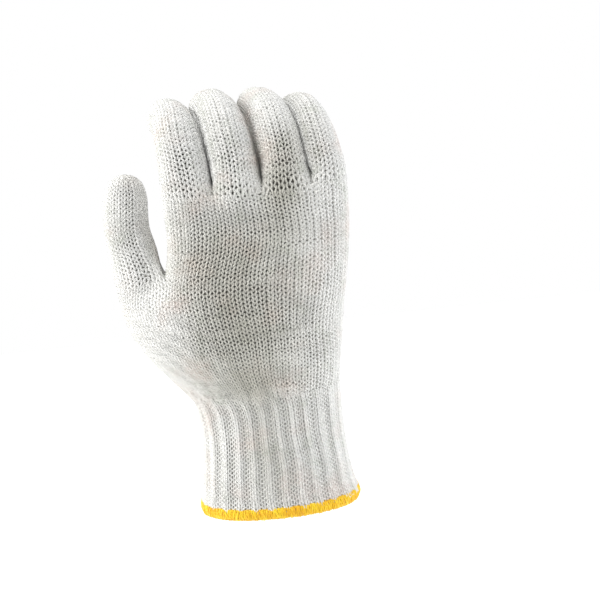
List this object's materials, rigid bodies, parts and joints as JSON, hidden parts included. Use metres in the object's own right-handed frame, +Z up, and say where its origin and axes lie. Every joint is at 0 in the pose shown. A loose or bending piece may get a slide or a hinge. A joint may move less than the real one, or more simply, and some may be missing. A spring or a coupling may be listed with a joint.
{
  "type": "cotton work glove",
  "caption": "String-knit cotton work glove in its worn shape, with curled fingers, a ribbed cuff and a yellow overlocked edge; hollow and open at the wrist.",
  "frame": {"origin": "centre of the wrist opening, on the lower edge of the binding, where a wrist or a form carries the glove", "axes": "+Z up the cuff towards the fingers, -Y the back of the hand, +Y the palm side, -X the thumb side"},
  "size_m": [0.1299, 0.0828, 0.2218],
  "materials": {
    "cotton_knit": "matte bleached cotton string knit",
    "cotton_rib": "matte elastic cotton rib",
    "yellow_thread": "matte overlock yarn"
  },
  "bodies": {
    "root": {"lower_palm": "cotton_knit", "upper_palm": "cotton_knit", "thumb": "cotton_knit", "index_finger": "cotton_knit", "middle_finger": "cotton_knit", "ring_finger": "cotton_knit", "little_finger": "cotton_knit", "rib_cuff": "cotton_rib", "edge_binding": "yellow_thread"}
  },
  "joints": []
}
